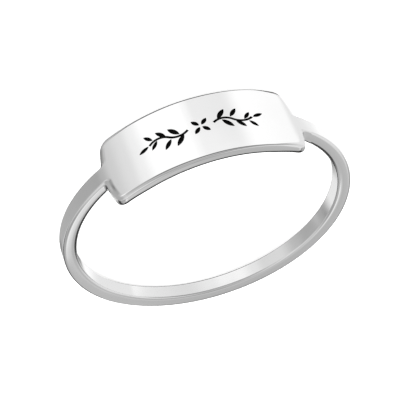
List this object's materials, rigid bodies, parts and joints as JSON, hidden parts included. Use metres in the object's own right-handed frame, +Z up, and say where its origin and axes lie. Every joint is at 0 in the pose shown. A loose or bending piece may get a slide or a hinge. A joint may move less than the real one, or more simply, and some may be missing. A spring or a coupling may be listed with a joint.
{
  "type": "name ring",
  "caption": "Polished silver finger ring: a narrow flat band that widens into a curved bar with a small engraved leaf sprig, lying on its side.",
  "frame": {"origin": "on the surface that the ring lies on, under the centre of its bounding box", "axes": "+Z up from the surface, X along the length of the bar, and the bar faces -Y; the finger hole's axis leans about 6 degrees from +Z towards +Y"},
  "size_m": [0.0192, 0.0192, 0.0046],
  "materials": {
    "silver": "mirror polished silver, with the engraving blackened"
  },
  "bodies": {
    "root": {"ring_body": "silver"}
  },
  "joints": []
}
